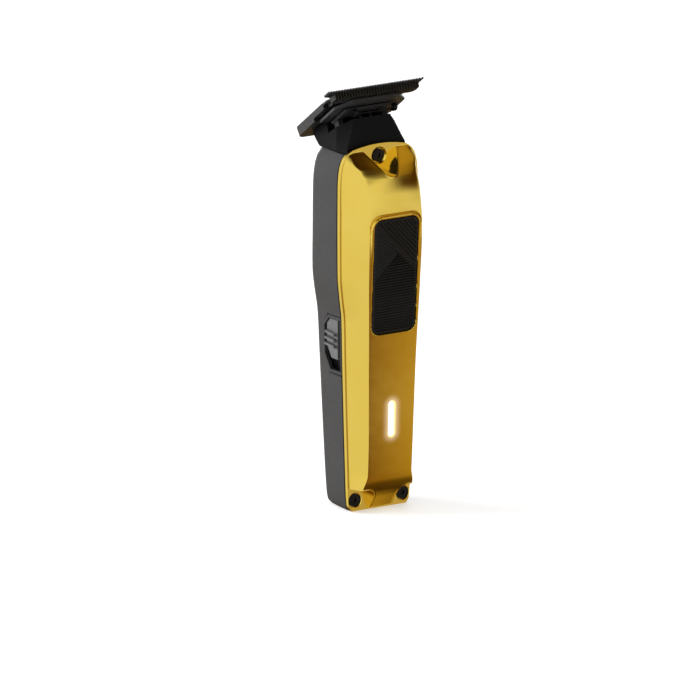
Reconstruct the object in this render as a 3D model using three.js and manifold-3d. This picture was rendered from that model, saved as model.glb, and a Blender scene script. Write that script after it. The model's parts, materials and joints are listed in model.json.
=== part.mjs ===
// Cordless T-blade hair trimmer, as separate parts.
// Millimetres, +Z up. +X is to the right as one looks at the front cover, +Y points to the back.
// The design plane y = 0 is the joint between the front cover and the rear housing, and z = 0 is
// the flat bottom end. The finished group is moved along Y so that the box centre is on the Z axis.
import * as THREE from 'three';
import { mergeVertices } from 'three/addons/utils/BufferGeometryUtils.js';
import Module from 'manifold-3d';

const wasm = await Module();
wasm.setup();

const { degToRad, lerp } = THREE.MathUtils;

/** Value at height z of a profile given as [height, value] pairs. */
function at(profile, z) {
  const last = profile[profile.length - 1];
  if (z <= profile[0][0]) return profile[0][1];
  if (z >= last[0]) return last[1];
  const i = profile.findIndex(([height]) => height > z);
  const [z0, v0] = profile[i - 1];
  const [z1, v1] = profile[i];
  return lerp(v0, v1, (z - z0) / (z1 - z0));
}

// ---- driving dimensions -------------------------------------------------------------------

const GAP = 0.3;                 // air between neighbouring parts
const WALL = 1.8;                // shell wall of cover and housing
const RIM = 1.5;                 // depth of the cover's straight rim
const COVER_TOP = 132.6;         // top of the arched cover edge
const ARCH_START = 131.3;        // height where the cover's arched edge begins
const HOUSING_TOP = 129.5;       // top of the rear housing
const REAR_CORNER = 6;           // rounding of the housing's rear corners
const SIDE_BOW = 0.9;            // how far the housing's sides close in before those corners
const END_ROUND = 1.6;           // rounding of the housing round its bottom end

// Heights and the sizes there: half width, front depth, half width of the front face, rear depth.
const WIDTHS = [[0, 11.6], [0.7, 12.2], [2, 12.9], [4.5, 13.2], [15, 13.6], [56, 14.8], [70, 15.1],
  [78, 16], [86, 16.7], [100, 16.8], [118, 16.7], [122, 16.5], [125, 16.1], [127, 15.5],
  [129, 14.4], [130.3, 13], [131.3, 11.3]];
const FRONT_DEPTHS = [[0, 1.6], [3, 3.5], [6, 5.5], [9, 7], [12, 7.9], [15, 8.25], [56, 9.9],
  [86, 11.4], [100, 12.1], [108, 12.1], [113, 11.9], [116, 11.5], [119, 10.7], [122, 9.2], [125, 6.9],
  [127.5, 4.4], [130.3, 1.7], [COVER_TOP, 1.6]];
const FACE_WIDTHS = [[0, 10.2], [5, 11], [9.5, 10.5], [14.5, 9.4], [56, 10.1], [86, 11], [100, 11.2],
  [120, 11.2], [124, 11.8], [127, 13], [130, 11.8]];
const REAR_DEPTHS = [[0, 17.6], [15, 18.4], [38, 19.3], [56, 20], [70, 20.7], [86, 21.6], [100, 21.3],
  [117, 21.1], [124, 20.5], [HOUSING_TOP, 19.4]];

const SCREW = { headRadius: 2.4, headHeight: 0.8, shankRadius: 1, shankLength: 4.6, sunk: 0.9, hole: 2.6 };
const TOP_SCREW = { x: 0, z: 128.2 };
const LOW_SCREW = { x: 10.2, z: 3.9 };
const TOP_POCKET = { half: 7, z: 130.5, run: 0.648, footRadius: 3 };   // V pocket round the top screw
const LOW_POCKET = { x: 4.8, top: 8.4, radius: 3.6 };                  // pockets round the lower screws

// The front face leans back by this angle where the grip pad lies.
const FACE_LEAN = Math.atan2(at(FRONT_DEPTHS, 100) - at(FRONT_DEPTHS, 70), 30);

const PAD = { width: 18.7, bottom: 65.6, top: 107.7, corner: 3, thickness: 1.4, frame: 1, proud: 0.7 };
const LIGHT = { width: 2.5, height: 12.9, z: 34, depth: 3 };
const LIGHT_EMITTER = { width: 1.8, thickness: 0.8, height: 3 };
const SWITCH = { z: 60, y: 6.2, plateHeight: 21, plateWidth: 11.2, slotHeight: 18.6, slotWidth: 9.2,
  thickness: 1.4, buttonHeight: 14.2, buttonWidth: 7.4, buttonDepth: 2.85, ribs: 3, ribPitch: 2.5,
  ribHeight: 1.3, ribProud: 1.2 };
const SWITCH_BODY = { x: -9.7, thickness: 2.8, width: 5.4, height: 13 };
const PORT = { width: 9, height: 3.2, depth: 7.4, y: 8, plugWidth: 14, plugHeight: 8 };

// The blade set lies in its own tilted frame: x across, t back from the tooth tips, n outwards.
const BLADE_TILT = 36;           // degrees below the horizontal, going back
const BLADE_TIP_Z = 153.3;
const FIXED = { half: 20, neckHalf: 14.8, bodyHalf: 16.5, length: 34, thin: 0.7, thick: 2, step: 12,
  tail: 20.2, tailThick: 3.2, corner: 2.6, teeth: 33, toothLength: 3.2, hornLength: 4.2 };
const CUTTER = { half: 17.85, rearHalf: 15, tip: 1, rear: 11, lip: 2.4, body: 1.5, teeth: 31,
  toothLength: 3.4 };
const TOOTH = { tipWidth: 0.36, rootWidth: 0.8 };
const STROKE = 0.8;              // cutter travel either side of centre
const HOLDER = { half: 15, front: 3.2, rear: 19.3, chamfer: 5, thickness: 0.9, n: -2.7 };
const PRONG = { x: 2.1, width: 1.2, t: 14.5, length: 3, depth: 3.4 };
const BRACKET = { half: 11, front: 7.6, rear: 18.6, thickness: 0.8, n: -4.2, window: 5, bar: 2.8 };
const BLADE_SCREW = { x: 10, t: 26, headRadius: 2.3, headHeight: 1.1, shankLength: 6.4 };
const SPRING_RADIUS = 0.32;
// Where the neck is cut away under the blade set, and the lowered part under the drive opening.
const SEAT = { n: -2.9, front: 19.8, wallTop: -7.6 };

const LEVER = { pinZ: 131, pinRadius: 1, y: 8.8, top: 140.1, gripZ: 139.3, bottom: 118.6,
  width: 5.4, tip: 2.4, thickness: 3.6, prong: 1.3, forkTop: 123.6 };
const CRANK = { pinZ: 119.8, pinRadius: 0.8, pinLength: 4.4, discRadius: 3, discHeight: 2.8, bottom: 113.6 };
const MOTOR = { radius: 6.5, length: 25, top: 112, y: LEVER.y, shaftRadius: 0.75, bushRadius: 2.4 };
// The lever turns the crank's circle into the cutter's stroke, so its two arms set the crank's throw.
// The fork is wide enough for the crank pin at any crank angle and any lever angle.
const LEVER_SWING = STROKE / (LEVER.gripZ - LEVER.pinZ);
const CRANK_THROW = LEVER_SWING * (LEVER.pinZ - CRANK.pinZ);
const FORK_HALF = CRANK_THROW + CRANK.pinRadius + LEVER_SWING * (LEVER.pinZ - LEVER.bottom) + 0.2;
const CELL = { radius: 6.5, length: 50, bottom: 18, y: 8.4 };
const BOARD = { width: 17, height: 70, thickness: 1, y: -2.2, z: 49 };
const CHASSIS = { width: 19, thickness: 1.2, bottom: 13, top: 84.6, depth: 14.4 };

// ---- materials ------------------------------------------------------------------------------

const material = (color, roughness, metalness) =>
  new THREE.MeshStandardMaterial({ color, roughness, metalness });

const GOLD = material(0xe0bb4f, 0.25, 1);
const DARK_SHELL = material(0x5c5c5d, 0.6, 0);
const BLACK_RUBBER = material(0x1b1b1c, 0.8, 0);
const BUTTON_GREY = material(0x8d8d8e, 0.5, 0);
const LIGHT_PIPE = material(0xffffff, 0.2, 0);
const DARK_STEEL = material(0x3a3a3c, 0.35, 1);
const BRIGHT_STEEL = material(0xb9b9bb, 0.3, 1);
const BLACK_STEEL = material(0x151516, 0.4, 1);
const BLACK_PLASTIC = material(0x202021, 0.5, 0);
const COPPER = material(0xb87742, 0.35, 1);
const BOARD_GREEN = material(0x1f5a35, 0.6, 0);
const CELL_SLEEVE = material(0x2c5f9e, 0.45, 0);
const RED_LEAD = material(0xb02a22, 0.6, 0);
const BLACK_LEAD = material(0x18181a, 0.6, 0);

// ---- geometry helpers -----------------------------------------------------------------------

/** Closed manifold solid from a three.js geometry. */
function solid(geometry) {
  const bare = geometry.clone();
  bare.deleteAttribute('normal');
  if (bare.getAttribute('uv')) bare.deleteAttribute('uv');
  const merged = mergeVertices(bare, 1e-4);
  return new wasm.Manifold(new wasm.Mesh({
    numProp: 3,
    vertProperties: new Float32Array(merged.getAttribute('position').array),
    triVerts: new Uint32Array(merged.getIndex().array),
  }));
}

/** three.js geometry from a manifold solid. */
function toGeometry(manifold) {
  const { vertProperties, triVerts } = manifold.getMesh();
  const geometry = new THREE.BufferGeometry();
  geometry.setAttribute('position', new THREE.BufferAttribute(new Float32Array(vertProperties), 3));
  geometry.setIndex(new THREE.BufferAttribute(new Uint32Array(triVerts), 1));
  geometry.computeVertexNormals();
  return geometry;
}

const cut = (body, ...tools) => tools.reduce((rest, tool) => rest.subtract(solid(tool)), body);
const join = (body, ...pieces) => pieces.reduce((whole, piece) => whole.add(solid(piece)), body);

const box = (width, depth, height, x, y, z) =>
  new THREE.BoxGeometry(width, depth, height).translate(x, y, z);

/** Cylinder whose axis runs along 'x', 'y' or 'z', centred on the given point. */
function rod(axis, radius, length, x, y, z, sides = 24) {
  const geometry = new THREE.CylinderGeometry(radius, radius, length, sides);
  if (axis === 'x') geometry.rotateZ(Math.PI / 2);
  if (axis === 'z') geometry.rotateX(Math.PI / 2);
  return geometry.translate(x, y, z);
}

/** Outline drawn in x and z, made solid from y = near to y = far. */
function slab(outline, near, far) {
  const geometry = new THREE.ExtrudeGeometry(outline, { depth: far - near, bevelEnabled: false,
    curveSegments: 8 });
  return geometry.rotateX(Math.PI / 2).translate(0, far, 0);
}

/** Outline drawn in x and t, made solid from n = low to n = high in the blade frame. */
function plate(outline, low, high) {
  const geometry = new THREE.ExtrudeGeometry(outline, { depth: high - low, bevelEnabled: false,
    curveSegments: 6 });
  return geometry.translate(0, 0, low);
}

const polygon = (points) => new THREE.Shape(points.map(([x, y]) => new THREE.Vector2(x, y)));

/** Rectangle with rounded corners, centred on (x, z). */
function roundedRectangle(width, height, radius, x = 0, z = 0) {
  const [left, right] = [x - width / 2, x + width / 2];
  const [low, high] = [z - height / 2, z + height / 2];
  const shape = new THREE.Shape();
  shape.moveTo(left + radius, low);
  shape.lineTo(right - radius, low);
  shape.absarc(right - radius, low + radius, radius, -Math.PI / 2, 0, false);
  shape.lineTo(right, high - radius);
  shape.absarc(right - radius, high - radius, radius, 0, Math.PI / 2, false);
  shape.lineTo(left + radius, high);
  shape.absarc(left + radius, high - radius, radius, Math.PI / 2, Math.PI, false);
  shape.lineTo(left, low + radius);
  shape.absarc(left + radius, low + radius, radius, Math.PI, Math.PI * 1.5, false);
  return shape;
}

/** Skin over rings of equal point counts, closed with a flat cap at each end. */
function loft(rings) {
  const count = rings[0].length;
  const index = [];
  for (let r = 0; r < rings.length - 1; r++) {
    for (let i = 0; i < count; i++) {
      const next = (i + 1) % count;
      const [a, b] = [r * count + i, r * count + next];
      index.push(a, b, b + count, a, b + count, a + count);
    }
  }
  for (const [r, flipped] of [[0, true], [rings.length - 1, false]]) {
    const flat = rings[r].map((p) => new THREE.Vector2(p.x, p.y));
    for (const [a, b, c] of THREE.ShapeUtils.triangulateShape(flat, [])) {
      const start = r * count;
      index.push(start + a, start + (flipped ? c : b), start + (flipped ? b : c));
    }
  }
  const geometry = new THREE.BufferGeometry();
  geometry.setAttribute('position', new THREE.Float32BufferAttribute(
    rings.flat().flatMap((p) => [p.x, p.y, p.z]), 3));
  geometry.setIndex(index);
  return geometry;
}

/** Tube of round section along a smooth curve through the points. */
function wire(points, radius, steps, sides = 8) {
  const curve = new THREE.CatmullRomCurve3(points.map((p) => new THREE.Vector3(...p)));
  const section = new THREE.Shape();
  section.absarc(0, 0, radius, 0, Math.PI * 2, false);
  return new THREE.ExtrudeGeometry(section, { extrudePath: curve, steps, curveSegments: sides / 2,
    bevelEnabled: false });
}

// ---- the two shells -------------------------------------------------------------------------

/** One level section of the front cover's outside, or of its inside when inset is positive. */
function coverRing(z, inset) {
  const half = archedWidth(z) - inset;
  const depth = Math.max(at(FRONT_DEPTHS, z) - inset, 0.2);
  const rim = Math.min(RIM, depth - 0.1);
  const face = Math.min(at(FACE_WIDTHS, z) - inset * 0.7, half - 0.4);
  const back = inset > 0 ? 1 : 0;
  const outline = [[-half, back], [-half, -rim], [-face, -depth], [face, -depth], [half, -rim],
    [half, back]];
  return outline.map(([x, y]) => new THREE.Vector3(x, y, z));
}

/** Half width of the cover, closing to the arched top edge. */
function archedWidth(z) {
  const open = at(WIDTHS, z);
  if (z <= ARCH_START) return open;
  return open * Math.sqrt(Math.max((COVER_TOP - z) / (COVER_TOP - ARCH_START), 0.03));
}

const COVER_HEIGHTS = [0.7, 2, 4.5, 6, 9, 12, 15, 30, 42, 56, 70, 78, 86, 100, 109, 113, 118, 122,
  125, 127, 129, 130.3, ARCH_START, 131.8, 132.3];

function coverLoft(inset, low, high) {
  const heights = COVER_HEIGHTS.filter((z) => z > low && z < high);
  return loft([low, ...heights, high].map((z) => coverRing(z, inset)));
}

function makeFrontCover() {
  const padHeight = PAD.top - PAD.bottom;
  const padMiddle = (PAD.top + PAD.bottom) / 2;
  const padRim = roundedRectangle(PAD.width + 2 * PAD.frame + GAP, padHeight + 2 * PAD.frame + GAP,
    PAD.corner + PAD.frame, 0, padMiddle);
  const padHole = roundedRectangle(PAD.width + GAP, padHeight + GAP, PAD.corner, 0, padMiddle);
  const faceDepth = at(FRONT_DEPTHS, padMiddle);
  const onFace = (geometry) => geometry.translate(0, 0, -padMiddle).rotateX(FACE_LEAN)
    .translate(0, -faceDepth, padMiddle);
  const lightSlot = roundedRectangle(LIGHT.width + GAP, LIGHT.height + GAP, 1.3, 0, LIGHT.z);

  const screws = [TOP_SCREW, { x: -LOW_SCREW.x, z: LOW_SCREW.z }, LOW_SCREW];

  let body = solid(coverLoft(0, 0, COVER_TOP));
  body = join(body, onFace(slab(padRim, -PAD.proud, 2)));
  body = body.subtract(solid(coverLoft(WALL, WALL, COVER_TOP - WALL)));
  body = cut(body, onFace(slab(padHole, -3, PAD.thickness)), slab(lightSlot, -14, 0.5));
  body = body.add(pocketBlock(roundedRectangle(17, 14, 2, 0, TOP_SCREW.z - 1)));
  for (const side of [-1, 1]) {
    const width = 2 * (LOW_SCREW.x - LOW_POCKET.x + 1.4);
    body = body.add(pocketBlock(roundedRectangle(width, width, 3, side * LOW_SCREW.x, LOW_SCREW.z)));
  }
  body = cut(body, topPocket(), ...[-1, 1].map(cornerPocket));
  return toGeometry(cut(body, ...screws.flatMap(({ x, z }) => countersink(x, z))));
}

/** Solid block round a screw pocket, limited to the cover's outside. */
function pocketBlock(outline) {
  return solid(slab(outline, -16, 0)).intersect(solid(coverLoft(0, 0, COVER_TOP)));
}

/** Screw hole: straight down to the head, a cone under the head, then a clearance hole. */
function countersink(x, z) {
  const seat = new THREE.CylinderGeometry(SCREW.shankRadius + GAP, SCREW.hole, SCREW.headHeight, 24);
  seat.translate(x, -SCREW.headHeight / 2, z);
  const well = rod('y', SCREW.hole, 12, x, -6 - SCREW.headHeight + 0.01, z);
  return [well, seat, rod('y', SCREW.shankRadius + GAP, 3, x, 0, z)];
}

/** V-shaped pocket with a rounded foot at the top screw, down to the rim's level. */
function topPocket() {
  const { half, z, run, footRadius } = TOP_POCKET;
  const lean = Math.atan(run);
  const footZ = z - half / run + footRadius / Math.sin(lean);
  const shape = new THREE.Shape();
  shape.moveTo(half, COVER_TOP + 1);
  shape.lineTo(-half, COVER_TOP + 1);
  shape.lineTo(-half, z);
  shape.absarc(0, footZ, footRadius, Math.PI + lean, -lean, false);
  shape.lineTo(half, z);
  return slab(shape, -16, -RIM);
}

/** Rounded pocket at a lower screw, open to the corner and the bottom end. */
function cornerPocket(side) {
  const { x, top, radius } = LOW_POCKET;
  const shape = new THREE.Shape();
  shape.moveTo(side * 20, -3);
  shape.lineTo(side * 20, top);
  shape.lineTo(side * (x + radius), top);
  shape.absarc(side * (x + radius), top - radius, radius, Math.PI / 2, side > 0 ? Math.PI : 0, side > 0);
  shape.lineTo(side * x, -3);
  return slab(shape, -16, -RIM);
}

/** One level section of the rear housing's outside, or of its inside when inset is positive. */
function housingRing(z, inset, shrink) {
  const half = archedWidth(z) - inset;
  const depth = at(REAR_DEPTHS, z) - inset - shrink;
  const corner = REAR_CORNER - inset * 0.6;
  const front = inset > 0 ? -1 : GAP;
  const straight = depth - corner - front;
  const right = [0, 0.5].map((t) => [half - SIDE_BOW * t * t, front + straight * t]);
  const steps = 6;
  for (let i = 0; i <= steps; i++) {
    const turn = i / steps * Math.PI / 2;
    right.push([half - SIDE_BOW - corner + corner * Math.cos(turn),
      depth - corner + corner * Math.sin(turn)]);
  }
  const left = right.map(([x, y]) => [-x, y]).reverse();
  return [...right, ...left].map(([x, y]) => new THREE.Vector3(x, y, z));
}

const HOUSING_HEIGHTS = [4.5, 15, 38, 56, 70, 78, 86, 100, 117, 122, 125, 127, 129];

/** Rear shell as a solid; its outside is rounded where the back meets the bottom end. */
function housingLoft(inset, low, high) {
  const steps = inset > 0 ? 0 : 4;
  const rings = [];
  for (let i = 0; i < steps; i++) {
    const turn = i / steps * Math.PI / 2;
    const z = END_ROUND * (1 - Math.cos(turn));
    rings.push(housingRing(z, inset, END_ROUND * (1 - Math.sin(turn))));
  }
  const first = inset > 0 ? low : END_ROUND;
  const heights = HOUSING_HEIGHTS.filter((z) => z > first && z < high);
  for (const z of [first, ...heights, high]) rings.push(housingRing(z, inset, 0));
  return loft(rings);
}

function makeRearHousing() {
  const outside = solid(housingLoft(0, 0, HOUSING_TOP));
  let body = outside.subtract(solid(housingLoft(WALL, WALL, HOUSING_TOP + 1)));
  for (const side of [-1, 1]) {
    const column = solid(rod('y', SCREW.shankRadius + 1.6, 20, side * LOW_SCREW.x, 10 + GAP, LOW_SCREW.z));
    body = body.add(column.intersect(outside));
  }
  const pilots = [-1, 1].map((side) =>
    rod('y', SCREW.shankRadius + GAP, 12, side * LOW_SCREW.x, 0, LOW_SCREW.z));
  const plugHole = box(PORT.plugWidth + 2 * GAP, PORT.plugHeight + 2 * GAP, 6, 0, PORT.y, 0);
  return toGeometry(cut(body, ...pilots, plugHole, onSide(sideSlab(SWITCH.plateWidth + 2 * GAP,
    SWITCH.plateHeight + 2 * GAP, -4, 4))));
}

// ---- the switch on the left side ------------------------------------------------------------

/** Leans a piece drawn about (x = 0, y = 0, z = 0) onto the housing's left side at the switch. */
function onSide(geometry) {
  const reach = SWITCH.plateHeight / 2;
  const lean = Math.atan2(at(WIDTHS, SWITCH.z + reach) - at(WIDTHS, SWITCH.z - reach), 2 * reach);
  return geometry.rotateY(-lean).translate(-at(WIDTHS, SWITCH.z), SWITCH.y, SWITCH.z);
}

/** Plate across y and z with cut corners on its rear side, from x = outer to x = inner. */
function sideSlab(width, height, outer, inner, chamfer = 2.2) {
  const [w, h] = [width / 2, height / 2];
  const outline = polygon([[-w, -h], [w - chamfer * 1.4, -h], [w, -h + chamfer * 1.6], [w, h - chamfer],
    [w - chamfer, h], [-w, h]]);
  const geometry = new THREE.ExtrudeGeometry(outline, { depth: inner - outer, bevelEnabled: false });
  return geometry.rotateX(Math.PI / 2).rotateZ(Math.PI / 2).translate(outer, 0, 0);
}

function makeSwitchPlate() {
  const body = solid(sideSlab(SWITCH.plateWidth, SWITCH.plateHeight, 0.1, SWITCH.thickness));
  return toGeometry(cut(body, sideSlab(SWITCH.slotWidth, SWITCH.slotHeight, -1, 3)));
}

function makeSwitchButton() {
  const { buttonWidth, buttonHeight, buttonDepth, ribs, ribPitch, ribHeight, ribProud } = SWITCH;
  const face = 0.35;
  let body = solid(sideSlab(buttonWidth, buttonHeight, face, face + buttonDepth, 1.9));
  for (let i = 0; i < ribs; i++) {
    const rib = box(ribProud + 1, buttonWidth - 1.2, ribHeight, (1 - ribProud) / 2, 0.4,
      (i - (ribs - 1) / 2) * ribPitch);
    body = join(body, rib);
  }
  return toGeometry(body);
}

// ---- the neck -------------------------------------------------------------------------------

// Height, half width at the front, y of the front, half width at the sides, y of the back.
const NECK_SECTIONS = [
  [118.5, 10.8, 0.5, 11.2, 15],
  [129.8, 10.8, 0.5, 11.2, 15],
  [130, 12.6, 0.5, 13.6, 19.2],
  [131.8, 12.2, 0.5, 13.6, 21.2],
  [134, 11.1, 1, 13.2, 24],
  [137.5, 9.4, 2.1, 12.4, 25.7],
  [142.3, 7.6, 3.6, 10, 25.7],
];

function neckRing([z, frontHalf, front, sideHalf, back]) {
  const corner = 3.4;
  const shoulder = front + 5;
  const right = [[frontHalf, front], [sideHalf, shoulder], [sideHalf, back - corner],
    [sideHalf - corner * 0.3, back - corner * 0.3], [sideHalf - corner, back]];
  const left = right.map(([x, y]) => [-x, y]).reverse();
  return [...right, ...left].map(([x, y]) => new THREE.Vector3(x, y, z));
}

function makeHeadShell() {
  let body = solid(loft(NECK_SECTIONS.map(neckRing)));
  const above = bladeBox(60, 80, 40, 0, 20, SEAT.n + 20);
  const opening = bladeBox(60, 60, 40, 0, SEAT.front - 30, SEAT.wallTop + 20);
  const channel = box(14, 8.6, 60, 0, LEVER.y + 0.5, 140);
  const pinHole = rod('y', LEVER.pinRadius + GAP, 13, 0, LEVER.y, LEVER.pinZ);
  const topScrew = rod('y', SCREW.shankRadius + GAP, 10, 0, 0, TOP_SCREW.z);
  const screws = [-1, 1].map((side) =>
    inBladeFrame(rod('z', SCREW.shankRadius + GAP, 12, side * BLADE_SCREW.x, BLADE_SCREW.t, -2)));
  return toGeometry(cut(body, above, opening, channel, pinHole, topScrew, ...screws));
}

// ---- the blade set, drawn in the blade frame --------------------------------------------------

const bladeMatrix = new THREE.Matrix4().makeRotationX(-degToRad(BLADE_TILT)).setPosition(0, 0, BLADE_TIP_Z);
const inBladeFrame = (geometry) => geometry.applyMatrix4(bladeMatrix);
const bladeBox = (width, length, height, x, t, n) => inBladeFrame(box(width, length, height, x, t, n));

/** Outline of a row of pointed teeth from left to right, given the t of their roots and tips. */
function toothRow(count, pitch, root, tip) {
  const { tipWidth, rootWidth } = TOOTH;
  const points = [];
  for (let i = 0; i < count; i++) {
    const x = (i - (count - 1) / 2) * pitch;
    points.push([x - rootWidth / 2, root], [x - tipWidth / 2, tip], [x + tipWidth / 2, tip],
      [x + rootWidth / 2, root]);
  }
  return points;
}

const TOOTH_PITCH = 2 * CUTTER.half / (CUTTER.teeth - 0.6);

/** Points of the right half outline, followed by their mirror image in reverse order. */
const mirrored = (right) => [...right, ...right.map(([x, t]) => [-x, t]).reverse()];

/** Outline of the blade's rear plate from t = front to its rounded rear corners. */
function rearPlate(front) {
  const { bodyHalf, length, corner } = FIXED;
  return polygon(mirrored([[bodyHalf, front], [bodyHalf, length - corner], [bodyHalf - 0.8, length - 0.8],
    [bodyHalf - corner, length]]));
}

function makeFixedBlade() {
  const { half, neckHalf, bodyHalf, toothLength, hornLength, step, tail, thin, thick, tailThick } = FIXED;
  const horn = [[half - 0.7, toothLength], [half, 0], [half, hornLength],
    [neckHalf + 1.4, hornLength + 1.4], [neckHalf, hornLength + 2.4], [neckHalf, hornLength + 3.6],
    [bodyHalf, hornLength + 4.8], [bodyHalf, step + 1]];
  const teeth = toothRow(FIXED.teeth, TOOTH_PITCH, toothLength, 0.5);
  const outline = polygon([...teeth, ...mirrored(horn)]);
  let body = solid(plate(outline, 0, thin));
  body = join(body, plate(rearPlate(step), thin - thick, thin + 0.2),
    plate(rearPlate(tail), thin - tailThick, thin));
  const holes = [-1, 1].map((side) =>
    rod('z', SCREW.shankRadius + GAP, 10, side * BLADE_SCREW.x, BLADE_SCREW.t, 0));
  return toGeometry(cut(body, ...holes));
}

function makeCutter() {
  const { half, rearHalf, tip, rear, lip, body: thin, toothLength } = CUTTER;
  const root = tip + toothLength;
  const sides = [[half, root], [half - 0.7, root + 0.8], [rearHalf, root + 2.2], [rearHalf, rear]];
  const outline = polygon([...toothRow(CUTTER.teeth, TOOTH_PITCH, root, tip), ...mirrored(sides)]);
  const under = -GAP * 0.7;
  let body = solid(plate(outline, -lip, under));
  const bevel = new THREE.Shape();
  bevel.moveTo(tip - 1, -0.9);
  bevel.lineTo(tip + 1, -lip - 0.6);
  bevel.lineTo(tip - 1, -lip - 0.6);
  const relief = new THREE.ExtrudeGeometry(bevel, { depth: 60, bevelEnabled: false });
  relief.rotateX(Math.PI / 2).rotateZ(Math.PI / 2).translate(-30, 0, 0);
  const step = box(60, 20, 2, 0, root + 1.2 + 10, -thin - 1);
  return toGeometry(cut(body, relief, step));
}

function makeCutterHolder() {
  const { half, front, rear, chamfer, thickness, n } = HOLDER;
  const outline = polygon([[-half + chamfer, front], [half - chamfer, front], [half, front + chamfer],
    [half, rear], [-half, rear], [-half, front + chamfer]]);
  let body = solid(plate(outline, n - thickness, n));
  for (const side of [-1, 1]) {
    const prong = box(PRONG.width, PRONG.length, PRONG.depth, side * PRONG.x, PRONG.t,
      n - thickness - PRONG.depth / 2 + 0.2);
    body = join(body, prong);
  }
  return toGeometry(body);
}

function makeSpringBracket() {
  const { half, front, rear, thickness, n, window, bar } = BRACKET;
  const outline = polygon([[-half, front], [half, front], [half, rear], [window, rear],
    [window, front + bar], [-window, front + bar], [-window, rear], [-half, rear]]);
  let body = solid(plate(outline, n - thickness, n));
  for (const side of [-1, 1]) {
    const foot = box(2, 3, SEAT.wallTop - n, side * (half - 1.4), rear - 2,
      (n + SEAT.wallTop + GAP) / 2 + 0.1);
    body = join(body, foot.scale(1, 1, -1).translate(0, 0, n + SEAT.wallTop + GAP));
  }
  return toGeometry(body);
}

function makeTensionSpring() {
  const points = [[-9.4, 9.4, -5.6], [-8.4, 7.2, -5.7], [-5.8, 7.6, -6.1], [0, 8.2, -6], [5.6, 7.6, -6.1],
    [8.8, 6.8, -5.7], [10, 9.2, -5.6]];
  return toGeometry(solid(wire(points, SPRING_RADIUS, 36)));
}

// ---- screws ---------------------------------------------------------------------------------

/** Screw standing on its tip side: head at the top of +Z, with a six-sided socket. */
function makeScrew(headRadius, headHeight, shankLength, countersunk) {
  const shank = SCREW.shankRadius;
  const profile = countersunk
    ? [[0, -shankLength], [shank, -shankLength], [shank, -headHeight], [headRadius, 0], [0, 0]]
    : [[0, -shankLength], [shank, -shankLength], [shank, 0], [headRadius, 0], [headRadius, headHeight * 0.6],
      [headRadius * 0.8, headHeight], [0, headHeight]];
  const lathe = new THREE.LatheGeometry(profile.map(([r, y]) => new THREE.Vector2(r, y)), 24);
  const top = countersunk ? 0 : headHeight;
  const socket = new THREE.CylinderGeometry(headRadius * 0.42, headRadius * 0.42, 1, 6);
  return toGeometry(cut(solid(lathe), socket.translate(0, top, 0)).rotate([90, 0, 0]));
}

// ---- drive ----------------------------------------------------------------------------------

function makeDriveLever() {
  const { width, tip, top, bottom, prong, forkTop, thickness, pinZ } = LEVER;
  const outer = FORK_HALF + prong;
  const right = [[FORK_HALF, bottom], [outer, bottom], [outer, forkTop], [width / 2, forkTop + 3],
    [width / 2, pinZ + 2], [tip / 2, top - 3], [tip / 2, top]];
  const left = right.map(([x, z]) => [-x, z]).reverse();
  const outline = polygon([...right, ...left, [-FORK_HALF, forkTop - 0.6], [FORK_HALF, forkTop - 0.6]]);
  const body = solid(slab(outline, LEVER.y - thickness / 2, LEVER.y + thickness / 2));
  return toGeometry(cut(body, rod('y', LEVER.pinRadius + GAP, 10, 0, LEVER.y, pinZ)));
}

function makeEccentric() {
  const { pinRadius, pinLength, discRadius, discHeight } = CRANK;
  const disc = solid(rod('z', discRadius, discHeight, 0, 0, discHeight / 2));
  const pin = rod('z', pinRadius, pinLength + 0.5, 0, CRANK_THROW, discHeight + pinLength / 2 - 0.25, 16);
  const bore = rod('z', MOTOR.shaftRadius + GAP, 4, 0, 0, 0, 16);
  return toGeometry(cut(join(disc, pin), bore));
}

function makeMotorCan() {
  const { radius, length, top, bushRadius } = MOTOR;
  let body = solid(rod('z', radius, length, 0, 0, top - length / 2, 32));
  body = cut(body, rod('z', radius - 1, length, 0, 0, top - length / 2 - 1, 32),
    rod('z', bushRadius + GAP, 4, 0, 0, top));
  return toGeometry(body);
}

function makeMotorBush() {
  const { top, shaftRadius, bushRadius } = MOTOR;
  const body = solid(rod('z', bushRadius, 2.4, 0, 0, top - 0.2));
  return toGeometry(cut(body, rod('z', shaftRadius + GAP, 6, 0, 0, top)));
}

function makeMotorEndCap() {
  const { radius, length, top } = MOTOR;
  return toGeometry(solid(rod('z', radius - 1 - GAP, 2.2, 0, 0, top - length + 1.1, 32)));
}

function makeMotorDamper() {
  const ring = solid(rod('z', MOTOR.radius + 1, 3, 0, 0, MOTOR.top - 8, 32));
  return toGeometry(cut(ring, rod('z', MOTOR.radius + GAP, 8, 0, 0, MOTOR.top - 8, 32)));
}

// ---- power and frame ------------------------------------------------------------------------

function makeChassis() {
  const { width, thickness, bottom, top, depth } = CHASSIS;
  let body = solid(box(width, thickness, top - bottom, 0, 0, (bottom + top) / 2));
  for (const z of [bottom, CELL.bottom + CELL.length + 4, top]) {
    body = join(body, box(width - 4, depth, thickness, 0, depth / 2, z - thickness / 2 * Math.sign(z - 40)));
  }
  return toGeometry(body);
}

function makeChargePort() {
  const { width, height, depth } = PORT;
  const wall = roundedRectangle(width, height, 1.5);
  const shell = new THREE.ExtrudeGeometry(wall, { depth, bevelEnabled: false });
  const inner = roundedRectangle(width - 0.6, height - 0.6, 1.2);
  const hollow = new THREE.ExtrudeGeometry(inner, { depth, bevelEnabled: false }).translate(0, 0, -1);
  const tongue = box(width - 2.6, 0.7, depth - 1, 0, 0, depth / 2 + 0.4);
  return toGeometry(join(cut(solid(shell), hollow), tongue));
}

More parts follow.
